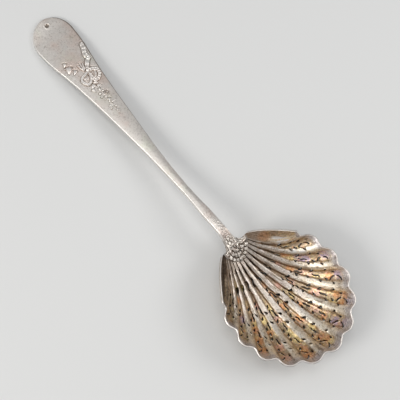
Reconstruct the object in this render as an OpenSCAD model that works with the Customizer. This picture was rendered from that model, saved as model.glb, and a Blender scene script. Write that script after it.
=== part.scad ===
// Sugar sifter: a silver spoon with a pierced scallop-shell bowl on a long flat handle.
// The origin is on the table under the middle of the bowl. +X points from the handle to
// the tip of the bowl and +Z points up, with the spoon lying on its bowl and handle tip.

/* [Bowl] */
// Length of the bowl from its hinge edge to the tip of the middle lobe
bowl_len = 54.5; // [46:0.5:66]
// Width of the bowl across its widest lobes
bowl_w = 50.8; // [42:0.2:62]
// Height of the rim above the table
rim_h = 14.6; // [11:0.1:19]
// Height of the bowl's inside edge where the handle meets it
hinge_h = 9.8; // [7.5:0.1:10.8]
// Length of the straight hinge edge
hinge_w = 12; // [9:0.5:15]
// Distance from the hinge edge to the widest place of the bowl
widest_at = 27.5; // [24:0.5:32]
// Thickness of the pressed sheet
sheet = 0.8; // [0.6:0.05:1.1]
// Depth of the flat worn under the bowl where it rests
worn_flat = 0.25; // [0.2:0.01:0.35]

/* [Flutes] */
// Number of pierced flutes, which is odd
flute_count = 11; // [7:2:13]
// Angle round the bowl that the pierced flutes take up at the rim
fan_angle = 245; // [225:1:250]
// Angle by which each plain wing reaches past the last notch
wing_angle = 4.5; // [3:0.1:8]
// Depth of a flute below the ridges, in the middle of the bowl
flute_depth = 1.3; // [0.8:0.05:1.8]
// Distance by which the lobes of the rim stand out past the notches
lobe_depth = 1.7; // [1:0.05:2.4]
// Length of the plain pad between the hinge edge and the flutes
pad_len = 7.2; // [6.6:0.1:9]
// Half the width of that plain pad
pad_half_w = 13; // [11:0.5:16]

/* [Piercing] */
// Distance along a flute from one group of piercings to the next
motif_pitch = 6.5; // [5.5:0.1:9]
// Distance from the rim to the nearest group of piercings
motif_start = 9.8; // [9:0.1:12]
// Distance from the hinge edge within which there is no group
motif_end = 24; // [21:0.5:28]
// Width of the round end of a drop
drop_w = 1.0; // [0.7:0.05:1.3]
// Length of a drop
drop_len = 1.7; // [1.3:0.05:2]
// Width of a slit
slit_w = 0.5; // [0.35:0.05:0.8]
// Length of a slit
slit_len = 2.9; // [2:0.1:3.6]
// Length of the long slit that begins each row
long_slit_len = 3.6; // [3:0.1:4.4]
// Distance from the hinge edge to the middle of the long slits
long_slit_at = 15.6; // [14.6:0.1:16.4]

/* [Handle] */
// Length of the handle from its tip to the bowl
handle_len = 115.5; // [95:0.5:135]
// Greatest width of the handle, near its tip
end_w = 17.4; // [13:0.2:22]
// Length of the handle's rounded end
end_round = 9.5; // [7:0.5:11]
// Width of the handle where it is narrowest
neck_w = 3.0; // [2.4:0.1:4]
// Width to which the handle spreads where it meets the bowl
collar_w = 5.4; // [4.4:0.1:6]
// Thickness of the handle at its tip
end_t = 1.5; // [1.2:0.1:2.2]
// Thickness of the handle at its neck
neck_t = 2.6; // [2:0.1:3.4]
// Height of the top of the neck above the table
neck_h = 13.2; // [12:0.1:17]
// Angle by which the handle is set to one side of the bowl's axis
handle_turn = 5.1; // [0:0.1:7]
// Width of the bevel along the edges of the handle
edge_bevel = 0.5; // [0.3:0.05:0.7]
// Height of the bow and garland above the handle's face
relief_h = 0.3; // [0.2:0.05:0.45]
// Diameter of the round dimple near the tip
dimple_d = 1.8; // [1.2:0.1:2.6]

/* [Joint] */
// Width of the cast ornament on the joint
ornament_w = 11.6; // [9:0.2:14]
// Length of the ornament along the bowl
ornament_len = 6.4; // [5:0.1:6.5]
// Thickness of the ornament at the hinge edge
ornament_t = 1.3; // [1:0.1:1.8]
// Width of the drop soldered under the joint
drop_plate_w = 7; // [5:0.2:9]
// Length of that drop
drop_plate_len = 6.4; // [5:0.1:6.5]
// Thickness of that drop
drop_plate_t = 1.2; // [0.9:0.1:1.6]
// Width of the solder fillet beside the handle
solder_w = 1.4; // [0.8:0.1:1.6]

/* [Hidden] */

// Thickness of the film of solder between two joined pieces
film = 0.12;
// Length by which a cutter runs past the piece that it cuts
overrun = 2;
// Step for slopes that are taken as differences
probe = 0.01;

// Places along a ray and across a flute at which the bowl's grid has points
row_shares = [0, 0.08, 0.13, 0.165, 0.21, 0.29, 0.385, 0.47, 0.55, 0.65, 0.765, 0.87, 0.95, 1];
flute_shares = [0.12, 0.4, 0.6, 0.88];
wing_shares = [0.5, 1];
// Where a ray's control point lies along its chord, and how far it is set in towards the axis
ray_knee_share = 0.7;
ray_bend_share = 0.18;
// The same for the edge of a wing, which is bent outwards
wing_knee_share = 0.32;
wing_bulge_share = 0.1;
// Share of the sheet's thickness by which its outside stands out past the inside at the rim
lip_share = 0.65;
// Share of the hinge edge from which the fluted rays start
fan_root_share = 0.8;
// Share of the lobes' height that the wing's end reaches
wing_lobe_share = 0.5;
// How steeply the bowl curves up, and how narrow the dip at the hinge is
bowl_power = 2.6;
dip_power = 14;
// Ridge shape at the hinge and at the rim, where a larger power makes a narrower ridge
ridge_powers = [0.8, 2];
// Share of the flute's depth that is left at the rim
rim_depth_share = 0.25;

half_count = flute_count / 2;
lobe_pitch = fan_angle / flute_count;
lobe_a = bowl_len - widest_at - lip_share * sheet;
lobe_b = bowl_w / 2 - lip_share * sheet;
crest_h = flute_depth + sheet - worn_flat;
hinge_x = -widest_at;
// The sheet starts just behind the hinge edge and is filed off square there
root_x = hinge_x - film;

// Mix of two values
function mix(a, b, s) = a + (b - a) * s;
// Smooth step from 0 to 1
function smooth(s) = let(u = max(0, min(1, s))) u * u * (3 - 2 * u);
// Unit vector
function unit(v) = v / norm(v);
// Value at s in a table of [place, value] pairs
function table(rows, s) =
    s <= rows[0][0] ? rows[0][1] :
    s >= rows[len(rows) - 1][0] ? rows[len(rows) - 1][1] :
    lookup(s, rows);

// Outer radius of the lobed rim at an angle, and the radius of its notches
function lobe_r(a) = lobe_a * lobe_b / sqrt(pow(lobe_b * cos(a), 2) + pow(lobe_a * sin(a), 2));
function notch_r(a) = lobe_r(a) - lobe_depth;
function on_circle(r, a) = [r * cos(a), r * sin(a)];

// Height of the ridges over a place in plan: a round bowl that dips towards the hinge
hinge_reach = pow(-hinge_x / notch_r(180), bowl_power);
hinge_dip = 1 - (hinge_h - crest_h) / ((rim_h - crest_h) * hinge_reach);
function crest_rise(a) = (rim_h - crest_h) * (1 - hinge_dip * pow((1 - cos(a)) / 2, dip_power));
function crest_z(p) = let(a = atan2(p.y, p.x))
    crest_h + crest_rise(a) * pow(norm(p) / notch_r(a), bowl_power);
function crest_normal(p) = unit([
    (crest_z(p - [probe, 0]) - crest_z(p + [probe, 0])) / (2 * probe),
    (crest_z(p - [0, probe]) - crest_z(p + [0, probe])) / (2 * probe),
    1]);

// Point of a quadratic curve
function curve(a, b, c, t) = a * (1 - t) * (1 - t) + 2 * b * t * (1 - t) + c * t * t;
// Curve parameter at an even share of the chord, for a control point at the knee share
function even(s, knee) = (knee - sqrt(knee * knee - (2 * knee - 1) * s)) / (2 * knee - 1);

// A ray runs from the hinge edge to the rim. Rays are numbered from the middle flute, ridges
// lie at the halves, and the last unit on each side crosses the plain wing.
function ray_start(i) = [root_x, hinge_w / 2 * fan_root_share * i / half_count];
function ray_end(i) = on_circle(notch_r(i * lobe_pitch), i * lobe_pitch);
function fan_ray(i, s) = let(
    a = ray_start(i),
    c = ray_end(i),
    d = c - a,
    b = a + ray_knee_share * d + ray_bend_share * i / half_count * [d.y, -d.x])
    curve(a, b, c, even(s, ray_knee_share));
wing_end_angle = fan_angle / 2 + wing_angle;
function wing_edge(s) = let(
    a = [root_x, hinge_w / 2],
    c = on_circle(notch_r(wing_end_angle) + wing_lobe_share * lobe_depth, wing_end_angle),
    d = c - a,
    b = a + wing_knee_share * d + wing_bulge_share * [-d.y, d.x])
    curve(a, b, c, even(s, wing_knee_share));
function ray(i, s) =
    abs(i) <= half_count ? fan_ray(i, s) :
    let(p = mix(fan_ray(half_count, s), wing_edge(s), abs(i) - half_count)) [p.x, p.y * sign(i)];

// Distance of a ray number from the nearest lobe's middle, from 0 to a half
function off_lobe(i) = abs(i - round(i));
function ridge(i, s) = pow(pow(sin(180 * off_lobe(i)), 2), mix(ridge_powers[0], ridge_powers[1], s));
// Depth of the flutes: none on the pad, full in the middle, little at the rim
function pad_ratio(p) = norm([(p.x - hinge_x) / pad_len, p.y / pad_half_w]);
function depth_at(p, s) = flute_depth * smooth((pad_ratio(p) - 1) * 3)
    * mix(1, rim_depth_share, pow(s, 4));
function flute_drop(i, p, s) =
    abs(i) <= half_count ? depth_at(p, s) * (1 - ridge(i, s)) :
    depth_at(p, s) / 3 * sin(180 * min(1, abs(i) - half_count));
// Lobes of the rim, which fade out down the flutes
function lobe_out(i, s) =
    abs(i) <= half_count ? lobe_depth * (1 - pow(sin(180 * off_lobe(i)), 3)) * pow(s, 3) : 0;

// Inside of the bowl at a ray and share, and the outside straight across the sheet
function inside(i, s) = let(p = ray(i, s), q = p + lobe_out(i, s) * unit(p))
    [q.x, q.y, crest_z(p) - flute_drop(i, p, s)];
function outside(i, s) = inside(i, s) - sheet * crest_normal(ray(i, s));

// Closed skin between two grids of points with the same rows and columns
module skin(top, under) {
    rows = len(top);
    cols = len(top[0]);
    count = rows * cols;
    function at(r, c) = r * cols + c;
    points = [for (g = [top, under]) for (r = g) for (p = r) p];
    rim = concat(
        [for (c = [0:cols - 2]) at(0, c)],
        [for (r = [0:rows - 2]) at(r, cols - 1)],
        [for (c = [cols - 1:-1:1]) at(rows - 1, c)],
        [for (r = [rows - 1:-1:1]) at(r, 0)]);
    faces = [
        for (r = [0:rows - 2]) for (c = [0:cols - 2]) each [
            [at(r, c), at(r, c + 1), at(r + 1, c + 1)],
            [at(r, c), at(r + 1, c + 1), at(r + 1, c)],
            [at(r, c) + count, at(r + 1, c + 1) + count, at(r, c + 1) + count],
            [at(r, c) + count, at(r + 1, c) + count, at(r + 1, c + 1) + count]],
        for (k = [0:len(rim) - 1]) let(a = rim[k], b = rim[(k + 1) % len(rim)]) each [
            [a, a + count, b + count],
            [a, b + count, b]]];
    polyhedron(points, faces);
}

// Ray numbers of the grid's columns, from one wing's edge to the other
half_columns = concat(
    [for (i = [0:floor(half_count) - 1]) for (f = flute_shares) i + f],
    [for (f = flute_shares) if (f < 0.5) floor(half_count) + f],
    [half_count],
    [for (w = wing_shares) half_count + w]);
columns = concat([for (k = [len(half_columns) - 1:-1:0]) -half_columns[k]], half_columns);

// Everything below the table, and everything behind the hinge edge
module below_table() {
    translate([-handle_len * 2, -bowl_w, -rim_h])
        cube([handle_len * 3, bowl_w * 2, rim_h]);
}
module behind_hinge() {
    translate([hinge_x - overrun * 2, -bowl_w, -overrun])
        cube([overrun * 2, bowl_w * 2, rim_h * 2]);
}

// Puts a flat shape on the bowl at a ray and a distance in from the rim, with its own X
// towards the rim, turned by an angle, and cuts it through the sheet
function ray_len(i) = norm(ray_end(i) - ray_start(i)) + lobe_depth;
// The piercer's pattern strays to one side of the flutes, the more the further round they lie,
// and less by the rim: share of the pitch for each flute, the flute where it is true, and limits
stray_share = 0.045;
stray_from = 1.7;
stray_limit_shares = [-0.06, 0.2];
function stray(i, from_rim) = smooth(from_rim / motif_start)
    * min(stray_limit_shares[1], max(stray_limit_shares[0], stray_share * (stray_from - i)));
module pierce(i, from_rim, turn = 0) {
    s = 1 - from_rim / ray_len(round(i));
    j = i + stray(round(i), from_rim);
    at = inside(j, s);
    along = unit(inside(j, s + probe) - inside(j, s - probe));
    across = unit(cross(crest_normal(ray(j, s)), along));
    out = cross(along, across);
    multmatrix([
        [along.x, across.x, out.x, at.x],
        [along.y, across.y, out.y, at.y],
        [along.z, across.z, out.z, at.z],
        [0, 0, 0, 1]])
        rotate(turn)
            translate([0, 0, -sheet - overrun])
                linear_extrude(sheet + overrun + flute_depth / 2)
                    children();
}
module drop(size_share = 1) {
    hull() {
        translate([(drop_len - drop_w) / 2 * size_share, 0])
            circle(d = drop_w * size_share, $fn = 6);
        translate([(slit_w - drop_len) / 2 * size_share, 0])
            rotate(180)
                circle(d = slit_w * size_share, $fn = 3);
    }
}
module slit(length) {
    hull()
        for (side = [-1, 1])
            translate([side * (length - slit_w) / 2, 0])
                circle(d = slit_w, $fn = 4);
}

// Places of the piercings: across a flute as shares of the pitch from lobe to lobe, and along
// it as shares of the motif's pitch, or of its start for the group at the rim
drop_side_share = 0.22;
drop_along_share = 0.18;
single_side_share = 0.14;
rim_drop_side_share = 0.32;
rim_drop_shares = [0.44, 0.58];
rim_slit_side_share = 0.12;
rim_slit_shares = [0.47, 0.27];
rim_slit_len_share = 0.75;
rim_dot_side_share = 0.2;
rim_dot_share = 0.38;
rim_size_share = 0.8;
slit_turn = 14;
drop_turn = 48;
rim_slit_turns = [45, -45];
long_slit_turn = 4;
// Distance beyond the groups, towards the hinge, in which single drops still find room
single_reach = motif_pitch / 2;

// How many groups and how many single drops fit on a flute
function groups(i) = max(1, floor((ray_len(i) - motif_end - motif_start) / motif_pitch) + 1);
function singles(i) =
    max(1, floor((ray_len(i) - motif_end + single_reach - motif_start) / motif_pitch + 0.5) + 1);
// One row of piercings. By the hinge a long slit, then groups of a drop, a slanting slit and
// a drop, with single drops between them, and at the rim a chevron of two slits with drops.
// Only the groups of the two halves of the bowl mirror each other.
module flute_piercings(i) {
    away = i < 0 ? -1 : 1;
    for (k = [0:groups(i) - 1]) {
        d = motif_start + k * motif_pitch;
        lean = (k % 2 == 0 ? 1 : -1) * away;
        pierce(i, d, -lean * slit_turn) slit(slit_len);
        for (side = [-1, 1])
            pierce(i + side * drop_side_share, d + side * lean * drop_along_share * motif_pitch,
                side * drop_turn) drop();
    }
    for (k = [0:singles(i) - 1])
        pierce(i - single_side_share, motif_start + (k - 0.5) * motif_pitch, -drop_turn) drop();
    if (ray_len(i) - long_slit_at - long_slit_len > motif_start)
        pierce(i, ray_len(i) - long_slit_at, long_slit_turn * away) slit(long_slit_len);
    for (j = [0, 1])
        pierce(i - rim_slit_side_share, motif_start * rim_slit_shares[j], rim_slit_turns[j])
            slit(slit_len * rim_slit_len_share);
    for (j = [0, 1]) let(side = 2 * j - 1)
        pierce(i + side * rim_drop_side_share, motif_start * rim_drop_shares[j], side * drop_turn)
            drop(rim_size_share);
    pierce(i + rim_dot_side_share, motif_start * rim_dot_share) drop(rim_size_share);
}

// The bowl: one pressed sheet, pierced, filed square at the hinge and worn flat beneath
module bowl() {
    color([0.78, 0.66, 0.5])
        difference() {
            skin([for (s = row_shares) [for (i = columns) inside(i, s)]],
                [for (s = row_shares) [for (i = columns) outside(i, s)]]);
            for (i = [-floor(half_count):floor(half_count)])
                flute_piercings(i);
            below_table();
            behind_hinge();
        }
}

// Outline and side view of the handle, as shares of its length from the tip
taper_shares = [[0.083, 1], [0.124, 0.967], [0.165, 0.887], [0.186, 0.82], [0.227, 0.711],
    [0.268, 0.611], [0.309, 0.537], [0.35, 0.46], [0.39, 0.396], [0.431, 0.335], [0.512, 0.218],
    [0.593, 0.105], [0.674, 0.038], [0.754, 0]];
collar_shares = [[0.8, 0], [0.86, 0.28], [0.9, 0.28], [0.955, 0.3], [0.98, 0.6], [1, 1]];
rise_shares = [[0.05, 0], [0.1, 0.06], [0.15, 0.13], [0.19, 0.18], [0.275, 0.267], [0.36, 0.353],
    [0.44, 0.43], [0.52, 0.5], [0.6, 0.565], [0.68, 0.645], [0.76, 0.745], [0.86, 0.905],
    [0.9, 0.972], [0.94, 1]];
station_shares = [0.1, 0.127, 0.153, 0.179, 0.206, 0.233, 0.274, 0.314, 0.354, 0.386, 0.43, 0.48, 0.54,
    0.6, 0.67, 0.74, 0.81, 0.84, 0.87, 0.9, 0.93, 0.945, 0.96, 0.975, 0.99, 1];
// Share of the length at which the neck starts to come down to the bowl, and where it is down
neck_down_shares = [0.94, 0.99];
// Share of the length over which the handle thickens
thick_shares = [0.1, 0.8];
// Share of the length over which the handle bends to one side
side_bend_share = 0.09;
// How far the face falls from its middle to its edges, as a share of the tip's thickness
crown_share = 0.15;
// Angles round the rounded end at which it has points
end_angles = [8, 22, 36, 50, 64, 77, 90];

function half_w(s) = let(u = s * handle_len / end_round)
    u < 1 ? end_w / 2 * sqrt(max(0, 1 - pow(1 - u, 2))) :
    mix(neck_w, end_w, table(taper_shares, s)) / 2
        + (collar_w - neck_w) / 2 * (s < collar_shares[0][0] ? 0 : table(collar_shares, s));
joint_top = hinge_h + ornament_t;
function top_z(s) = let(z = mix(end_t, neck_h, table(rise_shares, s)))
    s <= neck_down_shares[0] ? z :
    mix(z, joint_top, smooth((s - neck_down_shares[0]) / (neck_down_shares[1] - neck_down_shares[0])));
function thick(s) = mix(end_t, neck_t,
    smooth((s - thick_shares[0]) / (thick_shares[1] - thick_shares[0])));
function side_y(s) = let(d = (1 - s) * handle_len, b = side_bend_share * handle_len)
    tan(handle_turn) * (d < b ? d * d / (2 * b) : d - b / 2);
function axis_x(s) = hinge_x - film - (1 - s) * handle_len * cos(handle_turn);

// Points round one section of the handle: a crowned face, bevelled edges and a flat back
function section(s) = let(
    w = half_w(s),
    t = thick(s),
    z = top_z(s),
    b = min(edge_bevel, w / 3, t / 3),
    fall = crown_share * end_t,
    outline = [
        [-w, z - fall - b], [b - w, z - fall], [-w / 2, z - fall / 4], [0, z], [w / 2, z - fall / 4],
        [w - b, z - fall], [w, z - fall - b], [w, z - t + b], [w - b, z - t], [b - w, z - t],
        [-w, z - t + b]])
    [for (p = outline) [axis_x(s), side_y(s) + p.x, p.y]];

// Closed solid through sections with the same number of points
module loft(sections) {
    n = len(sections[0]);
    last = len(sections) - 1;
    points = [for (ring = sections) each ring];
    faces = [
        [for (k = [n - 1:-1:0]) k],
        for (j = [0:last - 1]) for (k = [0:n - 1]) let(a = j * n, m = (k + 1) % n) each [
            [a + k, a + n + m, a + n + k],
            [a + k, a + m, a + n + m]],
        [for (k = [0:n - 1]) last * n + k]];
    polyhedron(points, faces);
}

// Ribbon and garland, as shares of the handle's length and of half its greatest width
ribbon_shares = [
    [[0.236, 0.17], [0.2, 0.6], [0.173, 0.68], [0.14, 0.84]],
    [[0.236, 0.17], [0.215, 0.1], [0.197, 0.03]],
    [[0.236, 0.17], [0.238, -0.12], [0.247, -0.36], [0.268, -0.34], [0.27, -0.02], [0.251, 0.1],
        [0.236, 0.17]],
    [[0.236, 0.17], [0.248, 0.5], [0.263, 0.6], [0.28, 0.41], [0.279, 0.15], [0.265, 0.09],
        [0.236, 0.17]]];
leaf_shares = [
    [0.17, -0.5], [0.195, -0.52], [0.213, -0.37], [0.291, 0.1], [0.304, 0.18], [0.292, -0.17],
    [0.307, -0.24], [0.331, 0.1], [0.342, 0.21], [0.329, -0.08], [0.342, -0.16], [0.369, 0.03],
    [0.378, 0.13], [0.39, -0.05], [0.395, -0.13], [0.414, 0.05]];
leaf_size_shares = [0.13, 0.07];
knot_size_share = 0.11;
ribbon_w = 1.1;

// Plan of the bow and garland, whose dots are turned so that no corner meets a station
dot_turn = 11;
function plan_point(place) = [axis_x(place.x), side_y(place.x) + place.y * end_w / 2];
module dot(place, d) {
    translate(plan_point(place))
        rotate(dot_turn)
            circle(d = d, $fn = 8);
}
module relief_plan() {
    for (line = ribbon_shares)
        for (k = [0:len(line) - 2])
            hull() {
                dot(line[k], ribbon_w);
                dot(line[k + 1], ribbon_w);
            }
    dot(ribbon_shares[0][0], knot_size_share * end_w);
    for (place = leaf_shares)
        dot(place, end_w * mix(leaf_size_shares[0], leaf_size_shares[1], place.x / leaf_shares[15].x));
}
module blank() {
    loft([
        for (a = end_angles) section((1 - cos(a)) * end_round / handle_len),
        for (s = station_shares) section(s)]);
}

// The handle: one struck strip with its bow, ribbon and garland, and a dimple by the tip
dimple_share = [0.026, 0.12];
module handle() {
    color([0.72, 0.69, 0.66])
        difference() {
            union() {
                blank();
                intersection() {
                    linear_extrude(neck_h) relief_plan();
                    translate([0, 0, relief_h]) blank();
                }
            }
            translate([axis_x(dimple_share.x), side_y(dimple_share.x) + dimple_share.y * end_w / 2, end_t])
                scale([1, 1, relief_h * 2 / dimple_d])
                    sphere(d = dimple_d, $fn = 16);
            below_table();
        }
}

// Surface of the plain pad, at shares along and across a piece that lies on it
function pad_point(u, v, length, width, outline, lift) = let(
    p = [hinge_x + u * length, v * width / 2 * table(outline, u)])
    [p.x, p.y, crest_z(p)] + lift * crest_normal(p);

// The ornament: a cast fan of scrolls on the front of the joint
ornament_shares = [[0, 0.86], [0.15, 1], [0.35, 0.97], [0.55, 0.82], [0.75, 0.58], [0.9, 0.34],
    [1, 0.1]];
ornament_grid_shares = [0:0.0625:1];
scroll_share = 0.2;
function ornament_lift(u, v) = film + ornament_t * (mix(0.8, 0.4, u) * (1 - 0.4 * v * v)
    + scroll_share * sin(720 * u + 180 * v * v) * cos(540 * v) * (1 - v * v));
module hinge_ornament() {
    color([0.7, 0.66, 0.6])
        difference() {
            skin(
                [for (u = ornament_grid_shares) [for (v = ornament_grid_shares)
                    pad_point(u, 2 * v - 1, ornament_len, ornament_w, ornament_shares,
                        ornament_lift(u, 2 * v - 1))]],
                [for (u = ornament_grid_shares) [for (v = ornament_grid_shares)
                    pad_point(u, 2 * v - 1, ornament_len, ornament_w, ornament_shares, film)]]);
            behind_hinge();
        }
}

// The drop: a rounded tongue under the joint
drop_plate_shares = [[0, 1], [0.3, 0.95], [0.6, 0.78], [0.85, 0.45], [1, 0.12]];
drop_grid_shares = [0:0.125:1];
module back_drop() {
    color([0.66, 0.63, 0.6])
        difference() {
            skin(
                [for (u = drop_grid_shares) [for (v = drop_grid_shares)
                    pad_point(u, 2 * v - 1, drop_plate_len, drop_plate_w, drop_plate_shares,
                        -sheet - film)]],
                [for (u = drop_grid_shares) [for (v = drop_grid_shares)
                    pad_point(u, 2 * v - 1, drop_plate_len, drop_plate_w, drop_plate_shares,
                        -sheet - film - drop_plate_t * mix(1, 0.4, u) * (1.5 - pow(2 * v - 1, 2)) / 1.5)]]);
            behind_hinge();
        }
}

// The solder: a small fillet on each side of the handle's end, against the hinge edge
module solder_seam() {
    z0 = joint_top - neck_t + edge_bevel;
    color([0.8, 0.78, 0.74])
        for (side = [-1, 1])
            translate([hinge_x - film, side * (half_w(1) + film), z0])
                linear_extrude(neck_t - 2 * edge_bevel)
                    difference() {
                        polygon([[0, 0], [0, side * solder_w], [-solder_w, 0]]);
                        translate([-solder_w, side * solder_w])
                            circle(r = solder_w * 0.9, $fn = 32);
                    }
}

bowl();
handle();
hinge_ornament();
back_drop();
solder_seam();
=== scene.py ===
"""Looks of the sugar sifter: a worn-gilt pierced shell bowl on a tarnished silver handle.

All shapes are worked out in millimetres in the part's own frame and scaled to metres when a
mesh is made. The bowl and the handle follow the same formulas as the part's source.
"""

import math

import bpy
import numpy as np
from mathutils import Matrix, Vector
from mathutils.geometry import delaunay_2d_cdt


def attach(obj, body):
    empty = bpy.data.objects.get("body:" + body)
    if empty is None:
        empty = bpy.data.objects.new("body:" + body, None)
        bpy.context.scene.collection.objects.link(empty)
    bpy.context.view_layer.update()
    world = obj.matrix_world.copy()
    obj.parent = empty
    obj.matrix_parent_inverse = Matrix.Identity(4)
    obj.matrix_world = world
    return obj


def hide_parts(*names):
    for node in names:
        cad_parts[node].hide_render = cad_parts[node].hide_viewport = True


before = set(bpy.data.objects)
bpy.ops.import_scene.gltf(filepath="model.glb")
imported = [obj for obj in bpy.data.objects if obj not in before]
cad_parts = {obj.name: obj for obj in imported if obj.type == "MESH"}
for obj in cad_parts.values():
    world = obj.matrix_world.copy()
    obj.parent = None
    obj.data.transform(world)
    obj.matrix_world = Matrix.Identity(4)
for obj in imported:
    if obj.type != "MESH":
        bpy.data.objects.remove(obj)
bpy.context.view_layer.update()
MM = 0.001

# ---- Sizes shared with the part's source, in millimetres and degrees ----
BOWL_LEN, BOWL_W, RIM_H, HINGE_H, HINGE_W = 54.5, 50.8, 14.6, 9.8, 12.0
WIDEST_AT, SHEET, WORN_FLAT = 27.5, 0.8, 0.25
FLUTES, FAN_ANGLE, WING_ANGLE, FLUTE_DEPTH, LOBE_DEPTH = 11, 245.0, 4.5, 1.3, 1.7
PAD_LEN, PAD_HALF_W = 7.2, 13.0
MOTIF_PITCH, MOTIF_START, MOTIF_END = 6.5, 9.8, 24.0
DROP_W, DROP_LEN, SLIT_W, SLIT_LEN = 1.0, 1.7, 0.5, 2.9
LONG_SLIT_LEN, LONG_SLIT_AT = 3.6, 15.6
HANDLE_LEN, END_W, END_ROUND, NECK_W, COLLAR_W = 115.5, 17.4, 9.5, 3.0, 5.4
END_T, NECK_T, NECK_H, HANDLE_TURN, EDGE_BEVEL = 1.5, 2.6, 13.2, 5.1, 0.5
ORNAMENT_W, ORNAMENT_LEN, ORNAMENT_T = 11.6, 6.4, 1.3
DROP_PLATE_W, DROP_PLATE_LEN, DROP_PLATE_T = 7.0, 6.4, 1.2
SOLDER_W, FILM = 1.4, 0.12

KNEE, BEND, WING_KNEE, WING_BULGE, FAN_ROOT, WING_LOBE = 0.7, 0.18, 0.32, 0.1, 0.8, 0.5
LIP_SHARE, BOWL_POWER, DIP_POWER, RIM_DEPTH = 0.65, 2.6, 14, 0.25
RIDGE_POWERS = (0.8, 2.0)
# Where the sides of a ridge start and end across a flute, at the hinge and at the rim
FLUTE_FOOT, FLUTE_SHOULDER, BANDED = (0.02, 0.22), (0.17, 0.35), 0.8
# Where the flutes run out before the rim, over what share, and how much of them goes
FLUTE_END = (0.935, 0.045, 0.7)
WING_FLUTE, PAD_FADE = 0.6, 3
# Sway of the ridges: the most as a share of a flute, its waves, and the shift from ridge to ridge
WOBBLES, WOBBLE_FADE = ((0.034, 38, 2.4), (0.022, 83, 4.1), (0.018, 151, 1.3)), 0.15
RIM_LINE = (0.975, 0.004, 0.07)  # a fine line chased along the rim: place, width and depth
HALF = FLUTES / 2
PITCH = math.radians(FAN_ANGLE / FLUTES)
LOBE_A = BOWL_LEN - WIDEST_AT - LIP_SHARE * SHEET
LOBE_B = BOWL_W / 2 - LIP_SHARE * SHEET
CREST_H = FLUTE_DEPTH + SHEET - WORN_FLAT
HINGE_X = -WIDEST_AT
ROOT_X = HINGE_X - FILM
JOINT_TOP = HINGE_H + ORNAMENT_T


# ---- Small helpers ----
def mix(a, b, s):
    return a + (b - a) * s


def smooth(s):
    u = np.clip(s, 0, 1)
    return u * u * (3 - 2 * u)


def bell(x, at, width):
    return np.exp(-(((x - at) / width) ** 2))


def table(rows, s):
    places, values = zip(*rows)
    return np.interp(s, places, values)


def notch_radius(a):
    return LOBE_A * LOBE_B / np.hypot(LOBE_B * np.cos(a), LOBE_A * np.sin(a)) - LOBE_DEPTH


# ---- The bowl's surface: i numbers the flutes from the middle, s runs from hinge to rim ----
HINGE_REACH = (-HINGE_X / notch_radius(math.pi)) ** BOWL_POWER
HINGE_DIP = 1 - (HINGE_H - CREST_H) / ((RIM_H - CREST_H) * HINGE_REACH)


def crest_z(x, y):
    a = np.arctan2(y, x)
    rise = (RIM_H - CREST_H) * (1 - HINGE_DIP * ((1 - np.cos(a)) / 2) ** DIP_POWER)
    return CREST_H + rise * (np.hypot(x, y) / notch_radius(a)) ** BOWL_POWER


def crest_normal(x, y, step=0.01):
    nx = (crest_z(x - step, y) - crest_z(x + step, y)) / (2 * step)
    ny = (crest_z(x, y - step) - crest_z(x, y + step)) / (2 * step)
    n = np.stack([nx, ny, np.ones_like(nx)], -1)
    return n / np.linalg.norm(n, axis=-1, keepdims=True)


def curve_at(ax, ay, bx, by, cx, cy, t):
    u = 1 - t
    return ax * u * u + 2 * bx * t * u + cx * t * t, ay * u * u + 2 * by * t * u + cy * t * t


def even(s, knee):
    return (knee - np.sqrt(knee * knee - (2 * knee - 1) * s)) / (2 * knee - 1)


def bent_ray(ax, ay, cx, cy, knee, bend, s):
    dx, dy = cx - ax, cy - ay
    bx, by = ax + knee * dx + bend * dy, ay + knee * dy - bend * dx
    return curve_at(ax, ay, bx, by, cx, cy, even(s, knee))


def fan_ray(i, s):
    a = i * PITCH
    r = notch_radius(a)
    root = HINGE_W / 2 * FAN_ROOT * i / HALF
    return bent_ray(ROOT_X, root, r * np.cos(a), r * np.sin(a), KNEE, BEND * i / HALF, s)


def wing_edge(s):
    end = math.radians(FAN_ANGLE / 2 + WING_ANGLE)
    r = notch_radius(end) + WING_LOBE * LOBE_DEPTH
    x, y = r * math.cos(end), r * math.sin(end)
    return bent_ray(ROOT_X, HINGE_W / 2, x, y, WING_KNEE, -WING_BULGE, s)


def ray(i, s):
    k = np.abs(i)
    fx, fy = fan_ray(np.minimum(k, HALF), s)
    wx, wy = wing_edge(s)
    w = np.clip(k - HALF, 0, None)
    return mix(fx, wx, w), mix(fy, wy, w) * np.where(i < 0, -1.0, 1.0)


def off_lobe(i):
    return np.abs(i - np.round(i))


def wobble(i, s):
    """The hand-chased ridges don't run quite true."""
    k = np.floor(i + 1e-9)
    fade = smooth(s / WOBBLE_FADE) * smooth((1 - s) / WOBBLE_FADE)
    return fade * sum(most * np.sin(waves * s + shift * k) for most, waves, shift in WOBBLES)


def ridge(i, s):
    """1 on a ridge and 0 in the bottom of a flute. The ridges are bands with steep sides."""
    off = off_lobe(i) + wobble(i, s) * np.sin(np.pi * off_lobe(i)) ** 2
    low, high = mix(FLUTE_FOOT[0], FLUTE_FOOT[1], s), mix(FLUTE_SHOULDER[0], FLUTE_SHOULDER[1], s)
    banded = smooth((off - low) / (high - low))
    rounded = (np.sin(np.pi * off_lobe(i)) ** 2) ** mix(RIDGE_POWERS[0], RIDGE_POWERS[1], s)
    return mix(rounded, banded, BANDED)


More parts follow.
